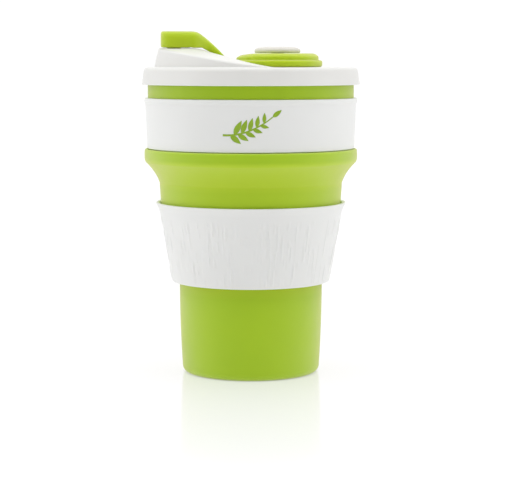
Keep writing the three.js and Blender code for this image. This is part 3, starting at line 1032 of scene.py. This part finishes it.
def stopper_button():
    """The snap button: a softly domed cap and a shank that ends in a barb under the lid."""
    cap_bottom = DISC_TOP + 0.1 * MM
    barb_top = LID_FLAT - LID_WALL - 0.2 * MM
    barb_radius = 3.4 * MM
    dome = [
        (BUTTON_RADIUS, cap_bottom + 0.7 * MM),
        (BUTTON_RADIUS, BUTTON_TOP - 0.2 * MM),
        (BUTTON_RADIUS - 3.8 * MM, BUTTON_TOP - 0.08 * MM),
    ]
    corners = [
        (0, BUTTON_BOTTOM, 0),
        (SHANK_RADIUS - 0.4 * MM, BUTTON_BOTTOM, 0.3 * MM),
        (barb_radius, barb_top - 0.6 * MM, 0.3 * MM),
        (barb_radius, barb_top, 0.2 * MM),
        (SHANK_RADIUS, barb_top, 0.1 * MM),
        (SHANK_RADIUS, cap_bottom, 0.1 * MM),
        (BUTTON_RADIUS - 0.2 * MM, cap_bottom, 0.3 * MM),
        *curve_corners(*dome, 12),
        (0, BUTTON_TOP, 0),
    ]
    piece = revolve("snap_button", rounded(corners, False), BUTTON_WHITE, False, DISC_X, 128)
    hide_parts("stopper_button")
    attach(piece, "lid")


# ---- Stage: floor, light and camera ----

# The table top, in metres. It glows a little, so that it is as bright as the background beyond it.
TABLE_RADIUS = 9.0
TABLE_THICKNESS = 0.02
TABLE_TINT = (0.30, 0.30, 0.30, 1)
# The table's glow under the foot, turned down as painted shade.
SHADE_GLOW = 0.25
TABLE_GLOW = 0.71
REFLECTION_TINT = (1.0, 0.95, 1.0, 1)
REFLECTION_SHARE = 0.26

# Distances from the cup's axis. Under the foot, up to the foot's lower edge, the table's glow is turned
# down as painted shade, and its reflection fades out some way beyond it.
SHADE_END = FOOT_RADIUS - 5.8 * MM
LIGHT_START = FOOT_RADIUS - 1.3 * MM
REFLECTION_FULL = 40 * MM
REFLECTION_END = 240 * MM


def table_material():
    """Lit white with painted shade under the foot, and a faint, blurred reflection that fades out away from
    the cup.
    """
    material = bpy.data.materials.new("table_top")
    material.use_nodes = True
    tree = material.node_tree
    tree.nodes.clear()
    diffuse = tree.nodes.new("ShaderNodeBsdfDiffuse")
    diffuse.inputs["Color"].default_value = TABLE_TINT
    glow = tree.nodes.new("ShaderNodeEmission")
    lit = tree.nodes.new("ShaderNodeAddShader")
    gloss = tree.nodes.new("ShaderNodeBsdfGlossy")
    gloss.inputs["Color"].default_value = REFLECTION_TINT
    gloss.inputs["Roughness"].default_value = 0.12
    place = tree.nodes.new("ShaderNodeTexCoord")
    distance = tree.nodes.new("ShaderNodeVectorMath")
    distance.operation = "LENGTH"
    tree.links.new(place.outputs["Object"], distance.inputs[0])
    away = distance.outputs["Value"]
    # Painted shade: the glow drops from TABLE_GLOW to SHADE_GLOW under the foot.
    strength = ranged(tree, away, SHADE_GLOW, TABLE_GLOW, SHADE_END, LIGHT_START)
    reflection = ranged(tree, away, REFLECTION_SHARE, 0, REFLECTION_FULL, REFLECTION_END)
    mix = tree.nodes.new("ShaderNodeMixShader")
    output = tree.nodes.new("ShaderNodeOutputMaterial")
    tree.links.new(strength, glow.inputs["Strength"])
    tree.links.new(diffuse.outputs[0], lit.inputs[0])
    tree.links.new(glow.outputs[0], lit.inputs[1])
    tree.links.new(reflection, mix.inputs["Fac"])
    tree.links.new(lit.outputs[0], mix.inputs[1])
    tree.links.new(gloss.outputs[0], mix.inputs[2])
    tree.links.new(mix.outputs[0], output.inputs["Surface"])
    return material


def floor():
    """A wide, round white table top under the cup."""
    rings = [ring_at(TABLE_RADIUS, z, 96) for z in (-TABLE_THICKNESS, 0.0)]
    poles = [(0, 0, -TABLE_THICKNESS), (0, 0, 0)]
    piece = skin("table_top", rings, table_material(), poles)


# Sky brightness from the camera's side (-1) to the far side (+1).
SKY_STOPS = [
    (-1.0, 0.07),
    (-0.76, 0.16),
    (-0.30, 1.21),
    (0.05, 1.09),
    (0.45, 0.75),
    (0.85, 0.80),
    (1.0, 1.15),
]

# What the light from above adds at most, and how bright the camera sees the background.
OVERHEAD = 0.62
BACKDROP = 1.05

# A float curve keeps to 0..1, so brightness goes into it divided by this and comes out multiplied.
CURVE_SCALE = 2.0


def sky_curve(tree, depth):
    """The sky's brightness as a smooth curve through its stops. depth runs from 0 to 1, front to back."""
    sky = tree.nodes.new("ShaderNodeFloatCurve")
    points = sky.mapping.curves[0].points
    for y, brightness in SKY_STOPS[1:-1]:
        points.new((y + 1) / 2, brightness / CURVE_SCALE)
    points[0].location = (0, SKY_STOPS[0][1] / CURVE_SCALE)
    points[-1].location = (1, SKY_STOPS[-1][1] / CURVE_SCALE)
    sky.mapping.update()
    tree.links.new(depth, sky.inputs["Value"])
    return sky.outputs["Value"]


def studio_light():
    """Wide soft light from both sides, from behind the cup and from above, but little from the camera's
    side."""
    world = bpy.data.worlds.new("studio")
    bpy.context.scene.world = world
    world.use_nodes = True
    tree = world.node_tree
    tree.nodes.clear()
    place = tree.nodes.new("ShaderNodeTexCoord")
    split = tree.nodes.new("ShaderNodeSeparateXYZ")
    tree.links.new(place.outputs["Generated"], split.inputs["Vector"])
    sky = sky_curve(tree, ranged(tree, split.outputs["Y"], low=0, high=1, start=-1, stop=1))
    overhead = ranged(tree, split.outputs["Z"], low=0, high=OVERHEAD, start=0.3, stop=0.9)
    total = tree.nodes.new("ShaderNodeMath")
    total.operation = "MULTIPLY_ADD"
    total.inputs[1].default_value = CURVE_SCALE
    tree.links.new(sky, total.inputs[0])
    tree.links.new(overhead, total.inputs[2])
    lamp = tree.nodes.new("ShaderNodeBackground")
    tree.links.new(total.outputs["Value"], lamp.inputs["Strength"])
    backdrop = tree.nodes.new("ShaderNodeBackground")
    backdrop.inputs["Strength"].default_value = BACKDROP
    for node in (lamp, backdrop):
        node.inputs["Color"].default_value = (1, 1, 1, 1)
    rays = tree.nodes.new("ShaderNodeLightPath")
    mix = tree.nodes.new("ShaderNodeMixShader")
    output = tree.nodes.new("ShaderNodeOutputWorld")
    tree.links.new(rays.outputs["Is Camera Ray"], mix.inputs["Fac"])
    tree.links.new(lamp.outputs[0], mix.inputs[1])
    tree.links.new(backdrop.outputs[0], mix.inputs[2])
    tree.links.new(mix.outputs[0], output.inputs["Surface"])
    bpy.context.scene.view_settings.view_transform = "Standard"


# The lens and the sensor's width are in millimetres, as Blender has them, and the tilt is in degrees.
CAMERA_LENS = 123.3
CAMERA_SENSOR = 36
CAMERA_ASIDE = 0.7 * MM
CAMERA_DISTANCE = 0.715
CAMERA_ABOVE_LID = 2.7 * MM
CAMERA_TILT = 6.25


def camera():
    """A long lens level with the lid, tilted down a little, so that the rings' curves open towards the
    base."""
    data = bpy.data.cameras.new("camera")
    data.lens = CAMERA_LENS
    data.sensor_width = CAMERA_SENSOR
    data.clip_start = 0.05
    data.clip_end = 50
    eye = bpy.data.objects.new("camera", data)
    eye.location = (CAMERA_ASIDE, -CAMERA_DISTANCE, LID_FLAT + CAMERA_ABOVE_LID)
    eye.rotation_euler = (math.radians(90 - CAMERA_TILT), 0, 0)
    bpy.context.scene.collection.objects.link(eye)
    bpy.context.scene.camera = eye


camera()
body_foot()
body_upper()
upper_band()
grip_sleeve()
printed_mark()
lid_shell()
stopper()
stopper_button()
floor()
studio_light()
